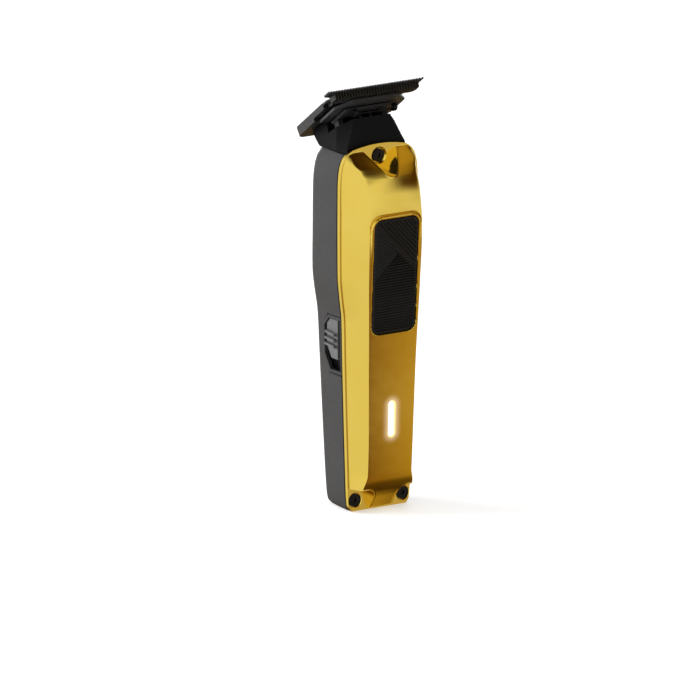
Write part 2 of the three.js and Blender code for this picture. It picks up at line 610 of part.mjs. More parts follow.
function makeBasePlug() {
  const { width, height, plugWidth, plugHeight } = PORT;
  const extrude = (shape, depth) => new THREE.ExtrudeGeometry(shape, { depth, bevelEnabled: false });
  const body = solid(extrude(roundedRectangle(plugWidth, plugHeight, 2), 1.6));
  const slot = extrude(roundedRectangle(width + 0.8, height + 0.8, 1.9), 4).translate(0, 0, -1);
  return toGeometry(cut(body, slot));
}

// ---- assembly -------------------------------------------------------------------------------

const model = new THREE.Group();
const bladeSet = new THREE.Group();
bladeSet.position.set(0, 0, BLADE_TIP_Z);
bladeSet.rotation.x = -degToRad(BLADE_TILT);
const drive = new THREE.Group();
drive.position.set(0, MOTOR.y, 0);
model.add(bladeSet, drive);

/** Adds a named part to a group and returns its mesh, for placing. */
function part(group, name, geometry, finish, x = 0, y = 0, z = 0) {
  const mesh = new THREE.Mesh(geometry, finish.clone());
  mesh.name = name;
  mesh.position.set(x, y, z);
  group.add(mesh);
  return mesh;
}

const plain = (geometry) => toGeometry(solid(geometry));

part(model, 'front_cover', makeFrontCover(), GOLD);
part(model, 'rear_housing', makeRearHousing(), DARK_SHELL);
part(model, 'head_shell', makeHeadShell(), DARK_SHELL);

const padMiddle = (PAD.top + PAD.bottom) / 2;
const pad = part(model, 'grip_pad', plain(slab(roundedRectangle(PAD.width - GAP, PAD.top - PAD.bottom - GAP,
  PAD.corner), -PAD.proud, PAD.thickness - GAP)), BLACK_RUBBER, 0, -at(FRONT_DEPTHS, padMiddle),
padMiddle);
pad.rotation.x = FACE_LEAN;

const lightFace = at(FRONT_DEPTHS, LIGHT.z);
part(model, 'light_bar', plain(slab(roundedRectangle(LIGHT.width - GAP, LIGHT.height - GAP, 1.1),
  0.1, LIGHT.depth)), LIGHT_PIPE, 0, -lightFace, LIGHT.z);
const { width: emitterWidth, thickness: emitterThickness, height: emitterHeight } = LIGHT_EMITTER;
part(model, 'light_emitter', plain(box(emitterWidth, emitterThickness, emitterHeight, 0, 0, 0)), LIGHT_PIPE,
  0,
  BOARD.y - BOARD.thickness / 2 - 0.7, LIGHT.z);

part(model, 'switch_plate', makeSwitchPlate(), DARK_SHELL);
part(model, 'switch_button', makeSwitchButton(), BUTTON_GREY, 0, 0,
  (SWITCH.slotHeight - SWITCH.buttonHeight) / 2 - GAP);
for (const name of ['switch_plate', 'switch_button']) onSide(model.getObjectByName(name).geometry);
part(model, 'switch_body', plain(box(SWITCH_BODY.thickness, SWITCH_BODY.width, SWITCH_BODY.height, 0, 0, 0)),
  BLACK_PLASTIC, SWITCH_BODY.x, SWITCH.y, SWITCH.z);

const screwNames = [['cover_screw_top', TOP_SCREW.x, TOP_SCREW.z],
  ['cover_screw_left', -LOW_SCREW.x, LOW_SCREW.z], ['cover_screw_right', LOW_SCREW.x, LOW_SCREW.z]];
for (const [name, x, z] of screwNames) {
  const shape = makeScrew(SCREW.headRadius, SCREW.headHeight - 0.1, SCREW.shankLength, true);
  const screw = part(model, name, shape, BLACK_STEEL, x, -SCREW.sunk, z);
  screw.rotation.x = Math.PI / 2;
}

part(bladeSet, 'fixed_blade', makeFixedBlade(), DARK_STEEL);
part(bladeSet, 'cutter', makeCutter(), DARK_STEEL);
part(bladeSet, 'cutter_holder', makeCutterHolder(), BLACK_PLASTIC);
part(bladeSet, 'spring_bracket', makeSpringBracket(), BRIGHT_STEEL);
part(bladeSet, 'tension_spring', makeTensionSpring(), BRIGHT_STEEL);
for (const [name, side] of [['blade_screw_left', -1], ['blade_screw_right', 1]]) {
  part(bladeSet, name, makeScrew(BLADE_SCREW.headRadius, BLADE_SCREW.headHeight, BLADE_SCREW.shankLength,
    false), BLACK_STEEL, side * BLADE_SCREW.x, BLADE_SCREW.t, FIXED.thin + 0.2 + GAP);
}

part(model, 'drive_lever', makeDriveLever(), BLACK_PLASTIC);
part(model, 'lever_pin', plain(rod('y', LEVER.pinRadius, 12.4, 0, 0, 0, 16)), BRIGHT_STEEL, 0, LEVER.y,
  LEVER.pinZ);
part(drive, 'eccentric', makeEccentric(), BRIGHT_STEEL, 0, 0, CRANK.bottom);
part(drive, 'motor_shaft', plain(rod('z', MOTOR.shaftRadius, 24, 0, 0, 0, 16)), BRIGHT_STEEL, 0, 0,
  CRANK.bottom + 1.6 - 12);
part(drive, 'motor_can', makeMotorCan(), BRIGHT_STEEL);
part(drive, 'motor_bush', makeMotorBush(), COPPER);
part(drive, 'motor_end_cap', makeMotorEndCap(), BLACK_PLASTIC);
part(drive, 'motor_damper', makeMotorDamper(), BLACK_RUBBER);

part(model, 'chassis', makeChassis(), BLACK_PLASTIC);
part(model, 'battery_cell', plain(rod('z', CELL.radius, CELL.length, 0, 0, 0, 32)), CELL_SLEEVE, 0, CELL.y,
  CELL.bottom + CELL.length / 2);
for (const [name, z] of [['battery_tab_bottom', CELL.bottom - 0.7],
  ['battery_tab_top', CELL.bottom + CELL.length + 0.7]]) {
  part(model, name, plain(box(6, 8, 0.4, 0, 0, 0)), BRIGHT_STEEL, 0, CELL.y, z);
}
const boardScrewHeights = [['board_screw_lower', BOARD.z - 31], ['board_screw_upper', BOARD.z + 31]];
const boardHoles = boardScrewHeights.map(([, z]) => rod('y', SCREW.shankRadius + GAP, 6, 0, 0, z - BOARD.z));
part(model, 'circuit_board', toGeometry(cut(solid(box(BOARD.width, BOARD.thickness, BOARD.height, 0, 0, 0)),
  ...boardHoles)), BOARD_GREEN, 0, BOARD.y, BOARD.z);
for (const [name, z] of boardScrewHeights) {
  const screw = part(model, name, makeScrew(1.9, 0.9, 1.2, false), BRIGHT_STEEL, 0,
    BOARD.y - BOARD.thickness / 2 - GAP, z);
  screw.rotation.x = Math.PI / 2;
}
part(model, 'charge_port', makeChargePort(), BRIGHT_STEEL, 0, PORT.y, 0.4);
part(model, 'base_plug', makeBasePlug(), BLACK_PLASTIC, 0, PORT.y, 0);
for (const [name, side, finish] of [['lead_red', 1, RED_LEAD], ['lead_black', -1, BLACK_LEAD]]) {
  const route = [[2.5, 7, 86.4], [5, 4, 85.8], [9.9, 3, 84], [10.6, 3, 76], [10.6, 1.5, 60], [10.6, -1, 48],
    [9.9, -2.2, 40]];
  part(model, name, plain(wire(route.map(([x, y, z]) => [side * x, y, z]), 0.5, 40, 6)), finish);
}

const bounds = new THREE.Box3().setFromObject(model);
model.position.y = -(bounds.min.y + bounds.max.y) / 2;

export default model;
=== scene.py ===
"""Looks of a cordless T-blade hair trimmer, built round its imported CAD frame.

Shapes are drawn in millimetres in the design frame: x across, y to the back with y = 0 at the joint
between cover and housing, z up. piece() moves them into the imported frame, in metres.
"""

import json
import math

import bmesh
import bpy
import numpy as np
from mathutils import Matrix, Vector


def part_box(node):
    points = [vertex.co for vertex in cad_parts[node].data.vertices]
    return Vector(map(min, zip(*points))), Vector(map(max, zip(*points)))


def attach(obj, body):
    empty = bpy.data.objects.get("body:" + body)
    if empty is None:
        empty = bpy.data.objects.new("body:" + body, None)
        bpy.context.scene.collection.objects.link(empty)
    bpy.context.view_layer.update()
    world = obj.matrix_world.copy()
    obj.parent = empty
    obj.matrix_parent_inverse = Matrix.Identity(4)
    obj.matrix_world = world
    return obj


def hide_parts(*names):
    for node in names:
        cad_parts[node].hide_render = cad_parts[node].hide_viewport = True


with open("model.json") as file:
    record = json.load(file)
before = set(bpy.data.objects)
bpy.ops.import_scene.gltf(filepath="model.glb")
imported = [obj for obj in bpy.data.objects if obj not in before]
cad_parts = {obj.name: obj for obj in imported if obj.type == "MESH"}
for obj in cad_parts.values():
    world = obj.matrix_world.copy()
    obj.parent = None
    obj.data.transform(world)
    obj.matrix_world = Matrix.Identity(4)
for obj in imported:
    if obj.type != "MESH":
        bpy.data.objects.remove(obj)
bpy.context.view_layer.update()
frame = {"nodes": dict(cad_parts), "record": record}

MM = 0.001
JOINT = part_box("front_cover")[1][1]        # where the design plane y = 0 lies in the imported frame


def node_box(name):
    """Lowest and highest corner of a CAD node in the design frame, in millimetres."""
    return [np.array([p[0], p[1] - JOINT, p[2]]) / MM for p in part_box(name)]


def middle(name):
    low, high = node_box(name)
    return (low + high) / 2


# ---- driving dimensions -------------------------------------------------------------------

COVER_TOP = node_box("front_cover")[1][2]
HOUSING_TOP = node_box("rear_housing")[1][2] + 0.2   # drawn up to just under the neck's shoulder
GAP = 0.3                                  # air round the end plate and the switch plate
JOINT_LINE = 0.65                          # where the housing's front edge starts, behind the cover
WALL = 1.8                                 # shell wall of cover and housing
ARCH_START = COVER_TOP - 1.3               # height where the cover's edge turns over into the arch
LEDGE = 0.75                               # width of the flat step between the side wall and the bevel
RIM = 1.3                                  # depth of the side wall, and level of the screw pockets
BEVEL_FOOT = 0.12                          # step from the rim up to the foot of the side bevels
CROWN, TOP_CROWN = 0.25, 1.1               # bulge of the front face, and of the ramp at its top

# Heights and the sizes there: half width, front depth, half width of the front face, rear depth.
WIDTHS = [[0, 11.6], [0.7, 12.2], [2, 12.9], [4.5, 13.2], [15, 13.6], [56, 14.8], [70, 15.1], [78, 16],
          [86, 16.7], [100, 16.8], [118, 16.7], [122, 16.5], [125, 16.1], [127, 15.5], [129, 14.4],
          [130.3, 13], [131.3, 11.3]]
FRONT_DEPTHS = [[0, 1.35], [3, 3.5], [6, 5.5], [9, 7], [12, 7.9], [15, 8.25], [56, 9.9], [86, 11.4],
                [100, 12.05], [108, 12.1], [113, 11.95], [116, 11.55], [119, 10.7], [122, 9.2],
                [125, 6.95], [127.5, 4.45], [130.3, 1.55], [130.5, 1.4], [COVER_TOP, 1.35]]
FACE_WIDTHS = [[0, 10.2], [5, 11], [9.5, 10.5], [14.5, 9.4], [56, 10.1], [86, 11], [100, 11.2],
               [120, 11.2], [124, 11.8], [127, 13], [130, 11.8]]
REAR_DEPTHS = [[0, 17.6], [15, 18.4], [38, 19.3], [56, 20], [70, 20.7], [86, 21.6], [100, 21.3],
               [117, 21.1], [124, 20.5], [HOUSING_TOP, 19.4]]
REAR_CORNER = 6                            # rounding of the rear corners
SIDE_BOW = 0.9                             # how far the sides close in before the rear corners
END_ROUND = 1.6                            # rounding of the housing round its bottom end

TOP_SCREW = middle("cover_screw_top")[[0, 2]]
LOW_SCREW = middle("cover_screw_right")[[0, 2]]
SCREW_WELL = 2.65                          # radius of the wells that the cover's screws sit in
WELL_FLOOR = 0.15                          # depth at which the wells end
TOP_CHAMFER, LOW_CHAMFER = 0.55, 0.2       # chamfers round the mouths of the wells
LOW_POCKET = (4.8, 8.4, 3.6)               # inner edge, top edge and corner radius
TOP_POCKET = (7, 130.5, 0.648, 3)          # half width, height there, run of its edges, foot radius
LIGHT_LOW, LIGHT_HIGH = node_box("light_bar")
PAD_LOW, PAD_HIGH = node_box("grip_pad")
PAD_CORNER = 3
PAD_CLEARANCE = 0.15                       # air round the pad in its seat
PAD_FRAME, FRAME_EDGE = 1.0, 0.1           # width of the raised frame round the pad, and of its soft edge
PAD_PROUD = (-0.05, 0.65)                  # how far that frame stands above the face, bottom and top
PAD_RECESS = 1.4                           # depth of the pad's seat below the top of the frame
GROOVE_DEPTH, GROOVE_WIDTH = 0.42, 0.2     # groove outside the frame
GROOVE_PLACE = PAD_FRAME + 0.4             # its distance from the pad's edge
GROOVE_FADE = 0.5                          # it is full depth where the frame stands this proud
LIP, LIP_PLACE, LIP_WIDTH = 0.13, 0.22, 0.16   # raised lip round the pockets, its distance and width
LIP_START, LIP_FADE = 0.2, 0.4             # height above the rim where it begins and how it comes in
LIGHT_RECESS = 3.2                         # depth of the slot that the light sits in
LIGHT_CLEARANCE = 0.2                      # air round the light in its slot
EDGE_ROUND, EDGE_DROP = 0.14, 0.12         # rounding of the cover's outer edge: width and depth
FACE_EDGE, SHOULDER_EDGE = 0.25, 1.6       # softness of the face's edge, and more of it at the shoulders
SHOULDERS = (106, 130)                     # heights between which the shoulders lie
BULGE_START = 114                          # height where the ramp's bulge begins
FADE = 8                                   # height over which bulge and shoulders come in
UNDER_PAD, UNDER_LIGHT = 1.2, 2.6          # extra wall behind the pad and behind the light
UNDER_MARGIN, UNDER_SOFT = 1.4, 0.4        # how far that reaches beyond them, and its soft edge
BOSS_MARGIN, BOSS_SOFT = 1.5, 0.3          # solid round the pockets and wells
THINNEST = 1                               # least wall of the cover


# ---- small maths ----------------------------------------------------------------------------

def smooth_profile(points):
    """Smooth curve through [height, value] pairs that never overshoots between them."""
    z, v = np.array(points, float).T
    step = np.diff(z)
    slope = np.diff(v) / step
    tangent = np.zeros_like(v)
    for i in range(1, len(v) - 1):
        if slope[i - 1] * slope[i] > 0:
            a, b = 2 * step[i] + step[i - 1], step[i] + 2 * step[i - 1]
            tangent[i] = (a + b) / (a / slope[i - 1] + b / slope[i])
    tangent[0], tangent[-1] = slope[0], slope[-1]

    def value(height):
        h = np.clip(height, z[0], z[-1])
        i = np.clip(np.searchsorted(z, h, side="right") - 1, 0, len(step) - 1)
        t = (h - z[i]) / step[i]
        return ((1 + 2 * t) * (1 - t) ** 2 * v[i] + t * (1 - t) ** 2 * step[i] * tangent[i]
                + t * t * (3 - 2 * t) * v[i + 1] - t * t * (1 - t) * step[i] * tangent[i + 1])
    return value


open_width = smooth_profile(WIDTHS)
front_depth = smooth_profile(FRONT_DEPTHS)
face_width = smooth_profile(FACE_WIDTHS)
rear_depth = smooth_profile(REAR_DEPTHS)


def half_width(z):
    """Half width of cover and housing, closing to a fiftieth of it at the arched top edge."""
    arch = np.sqrt(np.clip((COVER_TOP - z) / (COVER_TOP - ARCH_START), 0.0004, 1))
    return open_width(z) * arch


def step_in(distance, soft=0.12):
    """1 well inside (distance negative), 0 well outside, with a soft edge."""
    t = np.clip(0.5 - distance / (2 * soft), 0, 1)
    return t * t * (3 - 2 * t)


def soft_min(a, b, radius):
    return 0.5 * (a + b - np.sqrt((a - b) ** 2 + radius * radius))


def rounded_box(x, z, half_x, half_z, radius):
    """Signed distance to a rounded rectangle centred on the origin."""
    qx = np.abs(x) - (half_x - radius)
    qz = np.abs(z) - (half_z - radius)
    outside = np.hypot(np.maximum(qx, 0), np.maximum(qz, 0))
    return outside + np.minimum(np.maximum(qx, qz), 0) - radius


# ---- mesh helpers ---------------------------------------------------------------------------

def piece(name, points, faces, body, *cad_nodes, angle=35):
    """Mesh object from points in the design frame, riding on a body in place of its CAD nodes."""
    mesh = bpy.data.meshes.new(name)
    world = np.array(points, float) * MM + np.array([0, JOINT, 0])
    mesh.from_pydata(world.tolist(), [], [list(f) for f in faces])
    bm = bmesh.new()
    bm.from_mesh(mesh)
    bmesh.ops.remove_doubles(bm, verts=bm.verts, dist=1e-7)
    bmesh.ops.recalc_face_normals(bm, faces=bm.faces)
    bm.to_mesh(mesh)
    bm.free()
    mesh.validate()
    obj = bpy.data.objects.new(name, mesh)
    bpy.context.collection.objects.link(obj)
    shade(obj, angle)
    if body:
        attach(obj, body)
    if cad_nodes:
        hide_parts(*cad_nodes)
    return obj


def shade(obj, angle=35):
    """Smooth shading that keeps every edge sharper than the angle."""
    mesh = obj.data
    mesh.polygons.foreach_set("use_smooth", [True] * len(mesh.polygons))
    mesh.set_sharp_from_angle(angle=math.radians(angle))


def bevel(obj, width, segments=2):
    modifier = obj.modifiers.new("bevel", "BEVEL")
    modifier.width = width * MM
    modifier.segments = segments
    modifier.limit_method = "ANGLE"
    modifier.angle_limit = math.radians(30)
    modifier.harden_normals = True


def grid_faces(rows, columns, start=0, flipped=False):
    """Quads over a grid of points stored row by row."""
    index = start + np.arange(rows * columns).reshape(rows, columns)
    quads = np.stack([index[:-1, :-1], index[:-1, 1:], index[1:, 1:], index[1:, :-1]], axis=-1)
    quads = quads.reshape(-1, 4)
    return quads[:, ::-1] if flipped else quads


def relief(x, z, front, back):
    """Closed solid between two height grids over the same x and z; returns points and faces."""
    rows, columns = x.shape
    near = np.stack([x, front, z], axis=-1).reshape(-1, 3)
    far = np.stack([x, back, z], axis=-1).reshape(-1, 3)
    count = rows * columns
    index = np.arange(count).reshape(rows, columns)
    border = np.concatenate([index[0, :], index[1:, -1], index[-1, -2::-1], index[-2:0:-1, 0]])
    after = np.roll(border, -1)
    rim = np.stack([border, border + count, after + count, after], axis=-1)
    faces = np.concatenate([grid_faces(rows, columns), grid_faces(rows, columns, count, True), rim])
    return np.concatenate([near, far]), faces


def loft(rings):
    """Skin over rings of equal point counts, closed at both ends."""
    count = len(rings[0])
    points = np.concatenate(rings)
    faces = []
    for r in range(len(rings) - 1):
        for i in range(count):
            j = (i + 1) % count
            faces.append((r * count + i, r * count + j, (r + 1) * count + j, (r + 1) * count + i))
    faces.append(tuple(range(count))[::-1])
    last = (len(rings) - 1) * count
    faces.append(tuple(range(last, last + count)))
    return points, faces


def prism(outline, low, high, axis):
    """Outline extruded along 'x', 'y' or 'z'; the outline gives the two other coordinates."""
    rings = []
    for level in (low, high):
        rings.append(np.insert(np.array(outline, float), "xyz".index(axis), level, axis=1))
    return loft(rings)


def carve(obj, *tools, operation="DIFFERENCE"):
    """Exact boolean of obj with the tool pieces, applied to obj's mesh; the tools are removed."""
    for tool in tools:
        modifier = obj.modifiers.new("carve", "BOOLEAN")
        modifier.operation = operation
        modifier.solver = "EXACT"
        modifier.object = tool
        graph = bpy.context.evaluated_depsgraph_get()
        result = bpy.data.meshes.new_from_object(obj.evaluated_get(graph))
        obj.modifiers.remove(modifier)
        obj.data = result
        bpy.data.objects.remove(tool)


# ---- front cover ----------------------------------------------------------------------------

def pad_plane(z):
    """Depth of the top of the pad and its frame: flush with the face below, proud of it above."""
    low, high = PAD_LOW[2], PAD_HIGH[2]
    start, end = front_depth(low) + PAD_PROUD[0], front_depth(high) + PAD_PROUD[1]
    return start + (end - start) * (z - low) / (high - low)


def pad_distance(x, z):
    low, high = PAD_LOW, PAD_HIGH
    return rounded_box(x, z - (low[2] + high[2]) / 2, (high[0] - low[0]) / 2, (high[2] - low[2]) / 2,
                       PAD_CORNER)


def top_pocket_foot():
    """Lean of the V-shaped pocket's edges, and the height of the centre of its rounded foot."""
    half, height, run, foot_radius = TOP_POCKET
    lean = math.atan(run)
    return lean, height - half / run + foot_radius / math.sin(lean)


def top_pocket_distance(x, z):
    """Signed distance to the V-shaped pocket with a rounded foot."""
    half, height, _, foot_radius = TOP_POCKET
    lean, foot_z = top_pocket_foot()
    u, h = np.abs(x), z - foot_z
    along = u * math.sin(lean) + h * math.cos(lean)
    edge = np.where(z > height, u - half + foot_radius, u * math.cos(lean) - h * math.sin(lean))
    return np.where(along > 0, edge, np.hypot(u, h)) - foot_radius


def low_pocket_distance(x, z):
    """Signed distance to the round pockets at the lower screws, open to the corners."""
    inner, top, radius = LOW_POCKET
    u = inner + radius - np.abs(x)
    h = z - (top - radius)
    return np.hypot(np.maximum(u, 0), np.maximum(h, 0)) + np.minimum(np.maximum(u, h), 0) - radius


def screw_distance(x, z):
    low = np.hypot(np.abs(x) - LOW_SCREW[0], z - LOW_SCREW[1])
    top = np.hypot(x - TOP_SCREW[0], z - TOP_SCREW[1])
    return np.minimum(low, top) - SCREW_WELL


def light_distance(x, z):
    low, high = LIGHT_LOW, LIGHT_HIGH
    half_x = (high[0] - low[0]) / 2 + LIGHT_CLEARANCE
    half_z = (high[2] - low[2]) / 2 + LIGHT_CLEARANCE
    return rounded_box(x, z - (low[2] + high[2]) / 2, half_x, half_z, half_x - 0.05)


def dome_depth(x, z):
    """Depth of the faceted dome: broad side bevels, a slightly crowned face and the edge between."""
    u, w, f, c = np.abs(x), half_width(z), front_depth(z), face_width(z)
    shelf = np.maximum(w - LEDGE, 0.1)
    c = np.minimum(c, shelf * 0.9)
    foot = RIM + BEVEL_FOOT
    side = foot + (f - foot) * (shelf - u) / (shelf - c)
    crown = CROWN + (TOP_CROWN - CROWN) * np.clip((z - BULGE_START) / FADE, 0, 1)
    face = f + crown * (1 - (u / c) ** 2)
    shoulder = np.clip((z - SHOULDERS[0]) / FADE, 0, 1) * np.clip((SHOULDERS[1] - z) / FADE, 0, 1)
    soften = FACE_EDGE + SHOULDER_EDGE * shoulder
    depth = np.maximum(soft_min(side, face, soften), RIM)
    return np.where((u > shelf) | (z < LEDGE), RIM, depth)


def ridge(distance, place, width):
    """1 where the distance is at the given place, falling off to 0 over about the width."""
    return np.exp(-((distance - place) / width) ** 2)


def cover_front(x, z):
    """y of the cover's outside."""
    depth = dome_depth(x, z)
    pad = pad_distance(x, z)
    plane = pad_plane(z)
    in_frame = step_in(pad - PAD_FRAME - FRAME_EDGE)
    depth = depth + (np.maximum(plane, depth) - depth) * in_frame
    proud = np.clip((plane - front_depth(z)) / GROOVE_FADE, 0, 1)
    depth = depth - GROOVE_DEPTH * ridge(pad, GROOVE_PLACE, GROOVE_WIDTH) * proud
    depth = depth + (plane - PAD_RECESS - depth) * step_in(pad - PAD_CLEARANCE)
    depth = depth - LIGHT_RECESS * step_in(light_distance(x, z))
    pockets = np.minimum(top_pocket_distance(x, z), low_pocket_distance(x, z))
    raised = np.clip((depth - RIM - LIP_START) / LIP_FADE, 0, 1)
    depth = depth + LIP * ridge(pockets, LIP_PLACE, LIP_WIDTH) * raised
    edge = np.clip((np.abs(x) - half_width(z)) / EDGE_ROUND + 1, 0, 1)
    return -(depth - EDGE_DROP * edge * edge)


def cover_back(x, z, front):
    """y of the cover's inside: hollow under the dome, with more wall behind every recess."""
    hollow = dome_depth(x, z) - WALL
    for distance, extra in ((pad_distance(x, z), UNDER_PAD), (light_distance(x, z), UNDER_LIGHT)):
        hollow = hollow - extra * step_in(distance - UNDER_MARGIN, UNDER_SOFT)
    pockets = np.minimum(np.minimum(top_pocket_distance(x, z), low_pocket_distance(x, z)),
                         screw_distance(x, z))
    hollow = hollow * (1 - step_in(pockets - BOSS_MARGIN, BOSS_SOFT))
    inside = np.maximum(np.maximum(np.abs(x) - (half_width(z) - WALL), WALL - z), z - COVER_TOP + WALL)
    hollow = np.clip(hollow, 0, None) * step_in(inside)
    return -np.minimum(hollow, np.maximum(-front - THINNEST, 0))


def merged(*shapes):
    """Several (points, faces) shapes as one."""
    points, faces = [], []
    for shape_points, shape_faces in shapes:
        faces += [[i + len(points) for i in face] for face in shape_faces]
        points += list(shape_points)
    return points, faces


def pocket_shapes():
    """The V-shaped pocket and the two lower ones, as prisms from the rim's level outwards."""
    half, height, _, foot_radius = TOP_POCKET
    lean, foot_z = top_pocket_foot()
    arc = [(foot_radius * math.cos(a), foot_z + foot_radius * math.sin(a))
           for a in np.linspace(math.pi + lean, 2 * math.pi - lean, 25)]
    outlines = [[(half, COVER_TOP + 1), (-half, COVER_TOP + 1), (-half, height), *arc, (half, height)]]
    inner, top, radius = LOW_POCKET
    for side in (-1, 1):
        corner = [(side * (inner + radius - radius * math.sin(a)), top - radius + radius * math.cos(a))
                  for a in np.linspace(0, math.pi / 2, 17)]
        outlines.append([(side * 20, -3), (side * 20, top), *corner, (side * inner, -3)])
    return [prism(outline, -20, -RIM, "y") for outline in outlines]


def screw_well(x, z, chamfer):
    """Round well with a chamfered mouth at the rim's level."""
    rings = []
    above = 0.3
    profile = ((-RIM - above, SCREW_WELL + chamfer + above), (-RIM + chamfer, SCREW_WELL),
               (-WELL_FLOOR, SCREW_WELL))
    turns = np.linspace(0, 2 * math.pi, 48, endpoint=False)
    for y, radius in profile:
        rings.append(np.array([(x + radius * math.cos(a), y, z + radius * math.sin(a)) for a in turns]))
    return loft(rings)


def spaced(*stretches):
    """Ends of stretches given as (from, to, step), joined into one list."""
    values = [np.arange(low, high - step * 0.25, step) for low, high, step in stretches]
    return np.append(np.concatenate(values), stretches[-1][1])


def cover_rows():
    """Heights of the cover's grid: fine where there are edges, coarse on the plain stretches."""
    fine, medium, coarse = 0.18, 0.6, 0.9
    pad_low, pad_high = PAD_LOW[2], PAD_HIGH[2]
    light_low, light_high = LIGHT_LOW[2], LIGHT_HIGH[2]
    ramp = TOP_SCREW[1] - 8
    rows = spaced((0, 14, fine), (14, light_low - 1, medium), (light_low - 1, light_high + 1, 0.2),
                  (light_high + 1, pad_low - 2, coarse), (pad_low - 2, pad_low + 4, fine),
                  (pad_low + 4, pad_high - 4, medium), (pad_high - 4, pad_high + 2.6, fine),
                  (pad_high + 2.6, ramp, 0.4), (ramp, ARCH_START, fine))
    crest = np.linspace(0, 1, 12)[1:]
    rows = np.concatenate([rows, COVER_TOP - (COVER_TOP - ARCH_START) * (1 - crest) ** 2])
    rows[-1] -= 0.001
    return rows


def build_front_cover():
    """Domed cover; its columns follow the face's edge, the ledge and the outer edge."""
    rows = cover_rows()
    face = np.linspace(0, 1, 60)
    slope = np.linspace(0, 1, 20)[1:]
    shelf = np.array([0.04, 0.3, 0.55, 0.8, 0.87, 0.94, 1])
    columns = []
    for z in rows:
        edge = half_width(z)
        shelf_at = max(edge - LEDGE, 0.1)
        face_at = min(face_width(z), shelf_at * 0.9)
        right = np.concatenate([face * face_at, face_at + slope * (shelf_at - face_at),
                                shelf_at + shelf * (edge - shelf_at)])
        columns.append(np.concatenate([-right[:0:-1], right]))
    x = np.array(columns)
    z = np.repeat(rows[:, None], x.shape[1], axis=1)
    front = cover_front(x, z)
    points, faces = relief(x, z, front, cover_back(x, z, front))
    cover = piece("front_cover_shell", points, faces, "body", "front_cover")
    wells = [screw_well(TOP_SCREW[0], TOP_SCREW[1], TOP_CHAMFER)]
    wells += [screw_well(side * LOW_SCREW[0], LOW_SCREW[1], LOW_CHAMFER) for side in (-1, 1)]
    carve(cover, piece("pockets", *merged(*pocket_shapes()), None), piece("wells", *merged(*wells), None))
    shade(cover, angle=40)
    return cover


# ---- ribbed pad -----------------------------------------------------------------------------

RIB_DEPTH = 0.5
UPPER_PITCH, BAND_PITCH, LEFT_PITCH, LOWER_PITCH = 1.2, 0.92, 1.06, 0.98
BAND_WIDTH = 2.6                           # band of shallow ribs below the diagonal
LEFT_FIELD = -23.4                         # where the left field of ribs meets the lower one
PAD_BORDER = 0.75                          # plain border round the ribs
PAD_ROUND, PAD_ROUND_DEPTH = 0.7, 0.35     # rounding of the pad's edge
PAD_SINK = 0.3                             # how far the rib roots lie below the top of the frame
PAD_LAYER = 0.12                           # layer of air between the pad and its seat
BORDER_HEIGHT = 0.6                        # of the ribs' height
BAND_ROOT = 0.45                           # height of the shallow ribs' roots, likewise


def rib_height(x, z):
    """Height field of the pad's three fields of ribs, in millimetres above its rib roots."""
    low, high = PAD_LOW, PAD_HIGH
    diagonal = (x - low[0]) + (z - high[2])          # 0 on the line down from the top left corner
    rising = (z - high[2]) - (x - low[0])

    def ribs(distance, pitch):
        wave = 0.5 + 0.5 * np.cos(2 * math.pi * distance / pitch)
        return np.clip(wave * 1.6 - 0.25, 0, 1)

    across = diagonal / math.sqrt(2)
    field = np.where(rising > LEFT_FIELD, ribs(rising / math.sqrt(2), LEFT_PITCH), ribs(z, LOWER_PITCH))
    in_band = (diagonal < 0) & (diagonal > -BAND_WIDTH)
    field = np.where(in_band, BAND_ROOT + (1 - BAND_ROOT) * ribs(across, BAND_PITCH), field)
    return RIB_DEPTH * np.where(diagonal >= 0, ribs(across, UPPER_PITCH), field)


def build_grip_pad():
    row_steps, column_count = 300, 151
    half_x = (PAD_HIGH[0] - PAD_LOW[0]) / 2
    centre = (PAD_LOW[2] + PAD_HIGH[2]) / 2
    half_z = (PAD_HIGH[2] - PAD_LOW[2]) / 2
    rows = np.arange(centre - half_z, centre + half_z + 0.001, 2 * half_z / row_steps)
    across = np.linspace(-1, 1, column_count)
    inset = np.maximum(np.abs(rows - centre) - (half_z - PAD_CORNER), 0)
    reach = half_x - PAD_CORNER + np.sqrt(np.maximum(PAD_CORNER ** 2 - inset ** 2, 0.02))
    x = across[None, :] * reach[:, None]
    z = np.repeat(rows[:, None], x.shape[1], axis=1)
    distance = pad_distance(x, z)
    inside = np.clip(-distance / PAD_ROUND, 0, 1)
    border = np.where(-distance < PAD_BORDER, BORDER_HEIGHT, 0)
    ribs = np.maximum(rib_height(x, z), RIB_DEPTH * border)
    rounding = PAD_ROUND_DEPTH * (1 - np.sqrt(1 - (1 - inside) ** 2))
    front = -(pad_plane(z) - PAD_SINK + ribs - rounding)
    back = -(pad_plane(z) - PAD_RECESS + PAD_LAYER)
    points, faces = relief(x, z, front, back)
    return piece("ribbed_grip_pad", points, faces, "body", "grip_pad", angle=60)


# ---- rear housing ---------------------------------------------------------------------------

def housing_ring(z, inset, pull=0.0):
    """Level section with rounded rear corners, counter-clockwise from above."""
    half = half_width(min(z, HOUSING_TOP)) - inset
    depth = rear_depth(z) - inset - pull
    corner = REAR_CORNER - 0.6 * inset
    front = -1 if inset else JOINT_LINE
    straight = depth - corner - front
    right = [(half - SIDE_BOW * t * t, front + straight * t) for t in np.linspace(0, 1, 9)]
    steps = 12
    for i in range(1, steps + 1):
        turn = i / steps * math.pi / 2
        right.append((half - SIDE_BOW - corner + corner * math.cos(turn),
                      depth - corner + corner * math.sin(turn)))
    left = [(-x, y) for x, y in reversed(right)]
    return np.array([(x, y, z) for x, y in right + left])


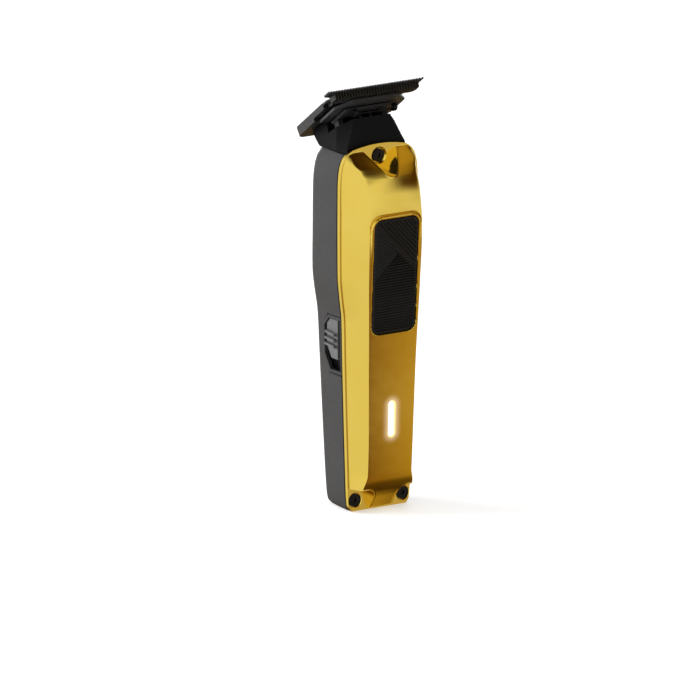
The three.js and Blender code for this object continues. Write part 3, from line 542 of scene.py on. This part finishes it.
def rounded_end():
    """Sections of the housing's rounded bottom end, from the very bottom up."""
    steps = 6
    turns = [i / steps * math.pi / 2 for i in range(steps)]
    return [housing_ring(END_ROUND * (1 - math.cos(t)), 0, END_ROUND * (1 - math.sin(t))) for t in turns]


def housing_rings(inset, low, high):
    return [housing_ring(z, inset) for z in spaced((low, high, 2.5))]


def build_rear_housing():
    outside = rounded_end() + housing_rings(0, END_ROUND, HOUSING_TOP)
    shell = piece("rear_housing_shell", *loft(outside), "body", "rear_housing")
    hollow = piece("hollow", *loft(housing_rings(WALL, WALL, HOUSING_TOP + 1)), None)
    plug_low, plug_high = node_box("base_plug")
    plug = [(plug_low[0] - GAP, plug_low[1] - GAP), (plug_high[0] + GAP, plug_low[1] - GAP),
            (plug_high[0] + GAP, plug_high[1] + GAP), (plug_low[0] - GAP, plug_high[1] + GAP)]
    plug_hole = piece("plug_hole", *prism(plug, -1, 3, "z"), None)
    outline = switch_outline(SWITCH_PLATE, GAP)
    opening = piece("switch_opening", *prism(outline, -SWITCH_FACE - 4, -SWITCH_FACE + 6, "x"), None)
    carve(shell, hollow, plug_hole, opening)
    shade(shell, angle=40)
    bevel(shell, 0.12)
    return shell


def build_joint_painted_shade():
    """Black strip just inside the joint, painted shade: it stands for the shadow in the gap between the two
    shells, so that the gap shows as a dark line.
    """
    inset, thickness = WALL + 0.05, 0.6
    front, back = 0.02, 2.0
    sides = []
    for side in (-1, 1):
        rings = []
        for z in np.linspace(WALL + thickness, HOUSING_TOP - 2, 60):
            outer = side * (half_width(z) - inset)
            inner = outer - side * thickness
            corners = [(outer, front, z), (outer, back, z), (inner, back, z), (inner, front, z)]
            rings.append(np.array(corners))
        sides.append(loft(rings))
    across = half_width(WALL) - inset
    foot = [(-across, front), (across, front), (across, back), (-across, back)]
    sides.append(prism(foot, inset, WALL + thickness - 0.02, "z"))
    return piece("joint_painted_shade", *merged(*sides), "body")


# ---- switch ---------------------------------------------------------------------------------

PLATE_LOW, PLATE_HIGH = node_box("switch_plate")
BUTTON_LOW, BUTTON_HIGH = node_box("switch_button")
SWITCH_MIDDLE = (PLATE_LOW + PLATE_HIGH) / 2
SWITCH_FACE = half_width(SWITCH_MIDDLE[2])
SWITCH_PLATE = (PLATE_HIGH[1] - PLATE_LOW[1], PLATE_HIGH[2] - PLATE_LOW[2])
SWITCH_SLOT = (SWITCH_PLATE[0] - 1.4, SWITCH_PLATE[1] - 2.4)   # the opening in the surround
PLATE_LOW_CUT, PLATE_TOP_CUT = (3.4, 5.4), (2.8, 3)            # cut corners of both, in y and z
PLATE_FACE, PLATE_BACK = 0.05, 1.6         # how far the surround's faces lie below the side
LINER_FACE, LINER_BACK = 3.35, 3.65        # likewise for the sheet behind the button
LINER_MARGIN = 0.3                         # the sheet is smaller than the surround by this all round
BUTTON_FACE, BUTTON_DEPTH = 0.35, 2.8      # how far the button's face lies below the side; its depth
BUTTON_SHIFT, BUTTON_NARROW = 0.45, 0.3    # set back by this, and narrower at front and back
BUTTON_LOW_CUT, BUTTON_TOP_CUT = (2.8, 4.4), (1.9, 1.9)        # its cut corners, in y and z
THUMB_PITCH, THUMB_HALF = 2.2, 0.65        # spacing and half height of the ribs for the thumb
THUMB_SLANT, THUMB_TAPER = 0.35, 0.35      # rise of a rib towards the back, and taper to its crest
THUMB_HEIGHT, THUMB_ROOT = 1.45, 0.5       # height over the button's face, and reach below it
THUMB_INSET = 0.5                          # the ribs end this far inside the button's front and back


def cut_outline(y, z, half_y, half_z, low_cut, top_cut):
    """Rectangle in y and z with cut corners on its rear side."""
    return [(y - half_y, z - half_z), (y + half_y - low_cut[0], z - half_z),
            (y + half_y, z - half_z + low_cut[1]), (y + half_y, z + half_z - top_cut[1]),
            (y + half_y - top_cut[0], z + half_z), (y - half_y, z + half_z)]


def switch_outline(size, grow=0.0):
    half_y, half_z = size[0] / 2 + grow, size[1] / 2 + grow
    return cut_outline(SWITCH_MIDDLE[1], SWITCH_MIDDLE[2], half_y, half_z, PLATE_LOW_CUT, PLATE_TOP_CUT)


def lean_to_side(points):
    """Follows the housing's side, whose half width changes with height."""
    moved = np.array(points, float)
    moved[:, 0] -= half_width(moved[:, 2]) - SWITCH_FACE
    return moved


def build_switch_surround():
    points, faces = prism(switch_outline(SWITCH_PLATE), -SWITCH_FACE + PLATE_FACE,
                          -SWITCH_FACE + PLATE_BACK, "x")
    plate = piece("switch_surround", lean_to_side(points), faces, "body", "switch_plate")
    slot = piece("slot", *prism(switch_outline(SWITCH_SLOT), -SWITCH_FACE - 2, -SWITCH_FACE + 3, "x"), None)
    carve(plate, slot)
    shade(plate, angle=30)
    bevel(plate, 0.16)
    return plate


def thumb_rib(y, z, half_y, face):
    """Slanted rib across the button, tapering to its crest."""
    reach = half_y - THUMB_INSET
    outline = [(y - reach, z - THUMB_HALF - THUMB_SLANT), (y + reach, z - THUMB_HALF + THUMB_SLANT),
               (y + reach, z + THUMB_HALF + THUMB_SLANT), (y - reach, z + THUMB_HALF - THUMB_SLANT)]
    points, faces = prism(outline, face - THUMB_HEIGHT, face + THUMB_ROOT, "x")
    crest = points[:, 0] < face
    points[crest, 2] += (z - points[crest, 2]) * THUMB_TAPER
    return piece("rib", points, faces, None)


def build_slide_button():
    low, high = BUTTON_LOW, BUTTON_HIGH
    y, z = (low[1] + high[1]) / 2 + BUTTON_SHIFT, (low[2] + high[2]) / 2
    half_y, half_z = (high[1] - low[1]) / 2 - BUTTON_NARROW, (high[2] - low[2]) / 2
    outline = cut_outline(y, z, half_y, half_z, BUTTON_LOW_CUT, BUTTON_TOP_CUT)
    face = -SWITCH_FACE + BUTTON_FACE
    button = piece("slide_button", *prism(outline, face, face + BUTTON_DEPTH, "x"), "switch", "switch_button")
    ribs = [thumb_rib(y, z + THUMB_PITCH * i, half_y, face) for i in (-1, 0, 1)]
    carve(button, *ribs, operation="UNION")
    shade(button, angle=30)
    bevel(button, 0.22, 3)
    return button


def build_switch_liner():
    """Thin black sheet behind the button, which closes the slot to the inside of the housing."""
    y, z = SWITCH_MIDDLE[1], SWITCH_MIDDLE[2]
    half_y, half_z = SWITCH_PLATE[0] / 2 - LINER_MARGIN, SWITCH_PLATE[1] / 2 - LINER_MARGIN
    sheet = [(y - half_y, z - half_z), (y + half_y, z - half_z),
             (y + half_y, z + half_z), (y - half_y, z + half_z)]
    return piece("switch_liner", *prism(sheet, -SWITCH_FACE + LINER_FACE, -SWITCH_FACE + LINER_BACK, "x"),
                 "body")


# ---- spring under the blade -------------------------------------------------------------------

BLADE_TILT, BLADE_TIP_Z = math.radians(36), 153.3
WIRE_RADIUS = 0.32
COIL_RADIUS, COIL_PITCH, COIL_TURNS = 1.15, 0.75, 2
COIL_LEFT, COIL_RIGHT = -8.6, 8.2          # where the two coils start, across
COIL_BACK, COIL_OUT = 7.4, -6.2            # their axis, back from the tooth tips and off the blade
BAR_BACK, BAR_BOW = 8.55, 0.35             # straight wire between the coils, and how far it bows
BAR_ENDS = (-6.6, 7.6)
BOW_START, BOW_SPAN = -7, 15               # where the bow begins, across, and its length


def from_blade(points):
    """Points given across, back from the tooth tips and outwards from the blade, in the design frame."""
    x, t, n = np.array(points, float).T
    return np.column_stack([x, t * math.cos(BLADE_TILT) + n * math.sin(BLADE_TILT),
                            BLADE_TIP_Z - t * math.sin(BLADE_TILT) + n * math.cos(BLADE_TILT)])


def tube(path, radius):
    """Round wire along a path, its section carried on from point to point."""
    path = np.array(path, float)
    along = np.gradient(path, axis=0)
    along /= np.linalg.norm(along, axis=1)[:, None]
    normal = np.cross(along[0], (0.3, 0.5, 0.8))
    sides = 12
    turns = np.linspace(0, 2 * math.pi, sides, endpoint=False)
    rings = []
    for point, direction in zip(path, along):
        normal = normal - direction * (normal @ direction)
        normal /= np.linalg.norm(normal)
        other = np.cross(direction, normal)
        rings.append(np.array([point + radius * (math.cos(a) * normal + math.sin(a) * other) for a in turns]))
    return loft(rings)


def coil(start):
    """Points of a coil across the clipper, starting and ending at its side away from the teeth."""
    turned = np.linspace(0, 2 * math.pi * COIL_TURNS, 14 * COIL_TURNS + 1)
    return [(start + COIL_PITCH * a / (2 * math.pi), COIL_BACK + COIL_RADIUS * math.cos(a),
             COIL_OUT - COIL_RADIUS * math.sin(a)) for a in turned]


def build_tension_spring():
    bar = [(x, BAR_BACK + BAR_BOW * math.sin((x - BOW_START) * math.pi / BOW_SPAN), COIL_OUT)
           for x in np.linspace(*BAR_ENDS, 12)]
    left_leg = [(-8.8, 10.2, -5.9), (-8.7, 9.3, -6.1)]
    right_leg = [(9.9, 9.4, -6.1), (10.1, 10.4, -5.9)]
    path = left_leg + coil(COIL_LEFT) + bar + coil(COIL_RIGHT) + right_leg
    return piece("tension_wire", *tube(from_blade(path), WIRE_RADIUS), "body", "tension_spring", angle=60)


# ---- materials ------------------------------------------------------------------------------

class Finish:
    """A Principled material whose colour, roughness and bump come from object-space noise."""

    def __init__(self, name, color, roughness, metallic=0.0, specular=0.5, coat=0.0):
        self.material = bpy.data.materials.new(name)
        self.material.use_nodes = True
        self.nodes = self.material.node_tree.nodes
        self.links = self.material.node_tree.links
        self.shader = self.nodes["Principled BSDF"]
        self.shader.inputs["Metallic"].default_value = metallic
        self.shader.inputs["Specular IOR Level"].default_value = specular
        self.shader.inputs["Coat Weight"].default_value = coat
        self.shader.inputs["Coat Roughness"].default_value = 0.15
        self.place = self.nodes.new("ShaderNodeTexCoord").outputs["Object"]
        self.color = color
        self.roughness = roughness
        self.height = None

    def noise(self, scale, detail=2.0, stretch=(1, 1, 1)):
        """Noise output with features of about 1/scale metres, optionally stretched along an axis."""
        mapping = self.nodes.new("ShaderNodeMapping")
        mapping.inputs["Scale"].default_value = [scale * s for s in stretch]
        self.links.new(self.place, mapping.inputs["Vector"])
        noise = self.nodes.new("ShaderNodeTexNoise")
        noise.inputs["Scale"].default_value = 1.0
        noise.inputs["Detail"].default_value = detail
        self.links.new(mapping.outputs["Vector"], noise.inputs["Vector"])
        return noise.outputs["Fac"]

    def remap(self, value, low, high, start=0.3, end=0.7):
        node = self.nodes.new("ShaderNodeMapRange")
        for socket, number in (("From Min", start), ("From Max", end), ("To Min", low), ("To Max", high)):
            node.inputs[socket].default_value = number
        self.links.new(value, node.inputs["Value"])
        return node.outputs["Result"]

    def vary_color(self, value, other):
        mix = self.nodes.new("ShaderNodeMix")
        mix.data_type = "RGBA"
        mix.inputs["A"].default_value = (*self.color, 1)
        mix.inputs["B"].default_value = (*other, 1)
        self.links.new(value, mix.inputs["Factor"])
        self.links.new(mix.outputs["Result"], self.shader.inputs["Base Color"])
        return self

    def vary_roughness(self, value, spread):
        low, high = self.roughness - spread, self.roughness + spread
        self.links.new(self.remap(value, low, high), self.shader.inputs["Roughness"])
        return self

    def bump(self, value, depth):
        """Raises the surface by value times depth, in metres; several bumps stack."""
        node = self.nodes.new("ShaderNodeBump")
        node.inputs["Distance"].default_value = depth
        self.links.new(value, node.inputs["Height"])
        if self.height:
            self.links.new(self.height, node.inputs["Normal"])
        self.height = node.outputs["Normal"]
        self.links.new(self.height, self.shader.inputs["Normal"])
        return self


def plated(name, color, other, roughness):
    """Bright plated metal: faint orange peel, cloudy haze and fine dust-like wear."""
    finish = Finish(name, color, roughness, metallic=1.0)
    finish.vary_color(finish.remap(finish.noise(90, 3), 0, 1), other)
    finish.vary_roughness(finish.noise(240, 4), 0.025)
    return finish.bump(finish.noise(1400, 2), 0.0000015)


def moulded(name, color, other, roughness, grain=0.00001, specular=0.4):
    """Moulded plastic or rubber: fine spark-eroded grain over a slight unevenness."""
    finish = Finish(name, color, roughness, specular=specular)
    finish.vary_color(finish.remap(finish.noise(70, 3), 0, 1), other)
    finish.vary_roughness(finish.noise(900, 3), 0.05)
    finish.bump(finish.noise(160, 2), 0.00001)
    return finish.bump(finish.noise(5200, 2), grain)


def ground_steel(name, color, other, roughness, along=(1, 12, 1), metallic=1.0):
    """Steel with fine parallel grinding lines and faint staining."""
    finish = Finish(name, color, roughness, metallic=metallic)
    finish.vary_color(finish.remap(finish.noise(200, 4), 0, 1), other)
    lines = finish.noise(900, 2, [1 / a * 6 for a in along])
    finish.vary_roughness(lines, 0.06)
    return finish.bump(lines, 0.000004)


HALO_BAR = 2.5                             # the light bar's width, whose ends are round
HALO_INNER, HALO_OUTER = 0.9, 4.6          # distances from its middle line where the glow starts and ends
HALO_STRENGTH = 0.85


def add_halo(finish, low, high):
    """Glow round the light bar, fading with the distance from it across the cover's face."""
    def math_node(operation, a, b):
        node = finish.nodes.new("ShaderNodeMath")
        node.operation = operation
        for socket, value in zip(node.inputs, (a, b)):
            if isinstance(value, float):
                socket.default_value = value
            else:
                finish.links.new(value, socket)
        return node.outputs[0]

    split = finish.nodes.new("ShaderNodeSeparateXYZ")
    finish.links.new(finish.place, split.inputs[0])
    middle_z, half_z = (low[2] + high[2]) / 2 * MM, (high[2] - low[2] - HALO_BAR) / 2 * MM
    along = math_node("ABSOLUTE", math_node("SUBTRACT", split.outputs["Z"], middle_z), 0.0)
    beyond = math_node("MAXIMUM", math_node("SUBTRACT", along, half_z), 0.0)
    square = math_node("ADD", math_node("MULTIPLY", split.outputs["X"], split.outputs["X"]),
                       math_node("MULTIPLY", beyond, beyond))
    fall = finish.remap(math_node("SQRT", square, 0.0), HALO_STRENGTH, 0.0, HALO_INNER * MM, HALO_OUTER * MM)
    faded = math_node("POWER", fall, 2.0)
    finish.links.new(faded, finish.shader.inputs["Emission Strength"])
    finish.shader.inputs["Emission Color"].default_value = (1, 0.86, 0.62, 1)


GOLD = plated("gold_plating", (0.8, 0.575, 0.095), (0.82, 0.6, 0.115), 0.17)
add_halo(GOLD, LIGHT_LOW, LIGHT_HIGH)

SHELL = moulded("dark_grey_plastic", (0.033, 0.033, 0.0335), (0.038, 0.038, 0.0385), 0.5)
NECK = moulded("neck_plastic", (0.0085, 0.0085, 0.0087), (0.0105, 0.0105, 0.0107), 0.5, specular=0.05)
RUBBER = moulded("pad_rubber", (0.006, 0.006, 0.0065), (0.009, 0.009, 0.0095), 0.42, specular=0.3)
BUTTON = moulded("button_plastic", (0.115, 0.115, 0.115), (0.13, 0.13, 0.13), 0.45)
BLACK = moulded("black_plastic", (0.014, 0.014, 0.015), (0.022, 0.022, 0.023), 0.5)
BLADE = ground_steel("blade_steel", (0.02, 0.02, 0.0205), (0.028, 0.0275, 0.027), 0.28, metallic=0.05)
CUTTER_STEEL = ground_steel("cutter_steel", (0.016, 0.016, 0.0165), (0.027, 0.025, 0.024), 0.24, metallic=0.1)
HOLDER = ground_steel("holder_steel", (0.027, 0.027, 0.0275), (0.036, 0.036, 0.0365), 0.34, metallic=0.05)
STEEL = ground_steel("plain_steel", (0.5, 0.5, 0.51), (0.58, 0.57, 0.56), 0.3)
SCREW = ground_steel("black_oxide", (0.016, 0.016, 0.018), (0.03, 0.029, 0.029), 0.36, (1, 1, 1))
BRONZE = plated("sintered_bronze", (0.5, 0.27, 0.12), (0.4, 0.22, 0.1), 0.4)
BOARD = moulded("solder_mask", (0.012, 0.11, 0.04), (0.016, 0.14, 0.05), 0.35)
SLEEVE = moulded("cell_sleeve", (0.03, 0.12, 0.4), (0.035, 0.14, 0.45), 0.3)
RED = moulded("red_lead", (0.45, 0.02, 0.015), (0.5, 0.03, 0.02), 0.5)

MILK = Finish("milky_light", (0.95, 0.95, 0.93), 0.3, coat=0.3)
MILK.vary_color(MILK.remap(MILK.noise(500, 2), 0, 1), (0.9, 0.91, 0.92)).vary_roughness(MILK.noise(800), 0.05)
MILK.shader.inputs["Emission Color"].default_value = (1, 0.99, 0.95, 1)
MILK.shader.inputs["Emission Strength"].default_value = 0.8

SLOT_FINISH = {"gold_cover": GOLD, "shell_grey": SHELL, "pad_rubber": RUBBER, "light_pipe": MILK,
               "button_grey": BUTTON, "blade_steel": BLADE, "bright_steel": STEEL, "black_screw": SCREW,
               "black_plastic": BLACK, "bush_bronze": BRONZE, "damper_rubber": RUBBER,
               "board_green": BOARD, "cell_sleeve": SLEEVE, "lead_red": RED, "lead_black": BLACK}
NODE_FINISH = {"head_shell": NECK, "cutter": CUTTER_STEEL, "cutter_holder": HOLDER, "spring_bracket": HOLDER}
NODE_BEVEL = {"head_shell": 0.3, "fixed_blade": 0.14, "cutter": 0.05, "cutter_holder": 0.25,
              "spring_bracket": 0.15, "blade_screw_left": 0.12, "blade_screw_right": 0.12,
              "cover_screw_top": 0.1, "cover_screw_left": 0.1, "cover_screw_right": 0.1,
              "base_plug": 0.2, "charge_port": 0.05}


def paint(obj, finish):
    obj.data.materials.clear()
    obj.data.materials.append(finish.material)


# ---- build ----------------------------------------------------------------------------------

for row in frame["record"]["subparts"]:
    node = frame["nodes"][row["node"]]
    node.data.materials.clear()
    finish = NODE_FINISH.get(row["node"], SLOT_FINISH[row["material_slot"]])
    node.data.materials.append(finish.material)
    if row["node"] in NODE_BEVEL:
        bevel(node, NODE_BEVEL[row["node"]])

paint(build_front_cover(), GOLD)
paint(build_grip_pad(), RUBBER)
paint(build_rear_housing(), SHELL)
# black strip in the joint: painted shade for the shadow in the gap between the two shells
paint(build_joint_painted_shade(), BLACK)
paint(build_tension_spring(), SCREW)
paint(build_switch_liner(), BLACK)
paint(build_switch_surround(), SHELL)
paint(build_slide_button(), BUTTON)


# ---- floor, light and camera ------------------------------------------------------------------

FLOOR_LEVEL = -0.0003                      # just under the flat bottom end
FLOOR_REACH = 4


def build_floor():
    mesh = bpy.data.meshes.new("floor")
    quadrants = ((-1, -1), (1, -1), (1, 1), (-1, 1))
    corners = [(x * FLOOR_REACH, y * FLOOR_REACH, FLOOR_LEVEL) for x, y in quadrants]
    mesh.from_pydata(corners, [], [(0, 1, 2, 3)])
    floor = bpy.data.objects.new("floor", mesh)
    bpy.context.collection.objects.link(floor)
    finish = moulded("floor_paper", (0.9, 0.9, 0.9), (0.92, 0.92, 0.92), 0.8, grain=0.0)
    finish.shader.inputs["Emission Color"].default_value = (1, 1, 1, 1)
    finish.shader.inputs["Emission Strength"].default_value = 0.5
    mesh.materials.append(finish.material)
    floor.visible_glossy = False


def build_world():
    """Studio surroundings: a bright wrap from the left and a bright band in front, darker above and
    below it, as large white screens round a product would give."""
    world = bpy.data.worlds.new("studio")
    bpy.context.scene.world = world
    world.use_nodes = True
    nodes, links = world.node_tree.nodes, world.node_tree.links
    direction = nodes.new("ShaderNodeTexCoord").outputs["Generated"]
    split = nodes.new("ShaderNodeSeparateXYZ")
    links.new(direction, split.inputs[0])

    def ramp(value, stops):
        node = nodes.new("ShaderNodeValToRGB")
        elements = node.color_ramp.elements
        while len(elements) < len(stops):
            elements.new(0.5)
        for element, (position, brightness, tint) in zip(elements, stops):
            element.position = position
            element.color = (*[brightness * t for t in tint], 1)
        links.new(value, node.inputs["Fac"])
        return node.outputs["Color"]

    def mix(factor, a, b):
        node = nodes.new("ShaderNodeMix")
        node.data_type = "RGBA"
        links.new(factor, node.inputs["Factor"])
        links.new(a, node.inputs["A"])
        links.new(b, node.inputs["B"])
        return node.outputs["Result"]

    def half(value):
        """-1 to 1 brought to 0 to 1."""
        node = nodes.new("ShaderNodeMapRange")
        node.inputs["From Min"].default_value = -1
        node.inputs["From Max"].default_value = 1
        links.new(value, node.inputs["Value"])
        return node.outputs["Result"]

    height = half(split.outputs["Z"])
    side = half(split.outputs["X"])
    white, cream, warm = (1.0, 1.0, 1.0), (1.0, 0.66, 0.14), (1.0, 0.46, 0.08)
    middle_band = ramp(height, [(0.065, 0.6, cream), (0.08, 0.45, cream), (0.1, 0.04, warm),
                                (0.18, 0.12, warm), (0.26, 0.26, warm), (0.32, 0.19, warm),
                                (0.36, 0.24, warm), (0.405, 0.95, white), (0.76, 0.95, white),
                                (0.88, 0.05, warm), (0.95, 0.04, warm)])
    right_band = ramp(height, [(0.065, 0.6, cream), (0.08, 0.45, cream), (0.1, 0.05, warm),
                               (0.18, 0.14, cream), (0.26, 0.42, cream), (0.32, 0.5, cream),
                               (0.36, 0.54, cream), (0.405, 0.92, white), (0.48, 0.75, white),
                               (0.59, 0.1, warm), (0.7, 0.06, warm), (0.8, 0.3, cream), (0.9, 0.6, cream)])
    left = ramp(height, [(0.05, 0.5, white), (0.25, 0.85, white), (0.4, 0.97, white), (0.8, 0.97, white),
                         (1.0, 0.5, white)])
    toward_left = ramp(side, [(0.18, 1.0, white), (0.42, 0.0, white)])
    toward_right = ramp(side, [(0.72, 0.0, white), (0.81, 1.0, white)])
    front = mix(toward_right, middle_band, right_band)
    glossy = mix(toward_left, front, left)
    path = nodes.new("ShaderNodeLightPath")
    choice = nodes.new("ShaderNodeMix")
    choice.data_type = "RGBA"
    choice.inputs["A"].default_value = (0.15, 0.15, 0.15, 1)
    links.new(path.outputs["Is Glossy Ray"], choice.inputs["Factor"])
    links.new(glossy, choice.inputs["B"])
    links.new(choice.outputs["Result"], nodes["Background"].inputs["Color"])


def area_light(name, place, size, power):
    """Rectangular lamp that faces the middle of the clipper and does not show in its reflections."""
    target = Vector((0, 0, 0.08))
    light = bpy.data.lights.new(name, "AREA")
    light.shape = "RECTANGLE"
    light.size, light.size_y = size
    light.energy = power
    obj = bpy.data.objects.new(name, light)
    obj.location = place
    obj.rotation_euler = (target - Vector(place)).to_track_quat("-Z", "Y").to_euler()
    obj.visible_glossy = False
    bpy.context.collection.objects.link(obj)


def build_camera():
    azimuth, elevation = math.radians(-34), math.radians(14)
    aim = Vector((-0.0004, 0.0164 + JOINT, 0.0538))
    out = Vector((math.sin(azimuth) * math.cos(elevation), -math.cos(azimuth) * math.cos(elevation),
                  math.sin(elevation)))
    camera = bpy.data.cameras.new("camera")
    camera.lens, camera.sensor_width = 1000, 36
    distance = 6.895
    camera.clip_start, camera.clip_end = 0.05, 20
    obj = bpy.data.objects.new("camera", camera)
    bpy.context.collection.objects.link(obj)
    obj.location = aim + out * distance
    obj.rotation_euler = (-out).to_track_quat("-Z", "Y").to_euler()
    bpy.context.scene.camera = obj


build_floor()
build_world()
area_light("left_screen", (-1.0, 0.95, 0.4), (0.9, 0.9), 27)
area_light("top_screen", (0.1, 0.0, 1.5), (1.5, 1.5), 12)
build_camera()
bpy.context.scene.view_settings.view_transform = "Standard"
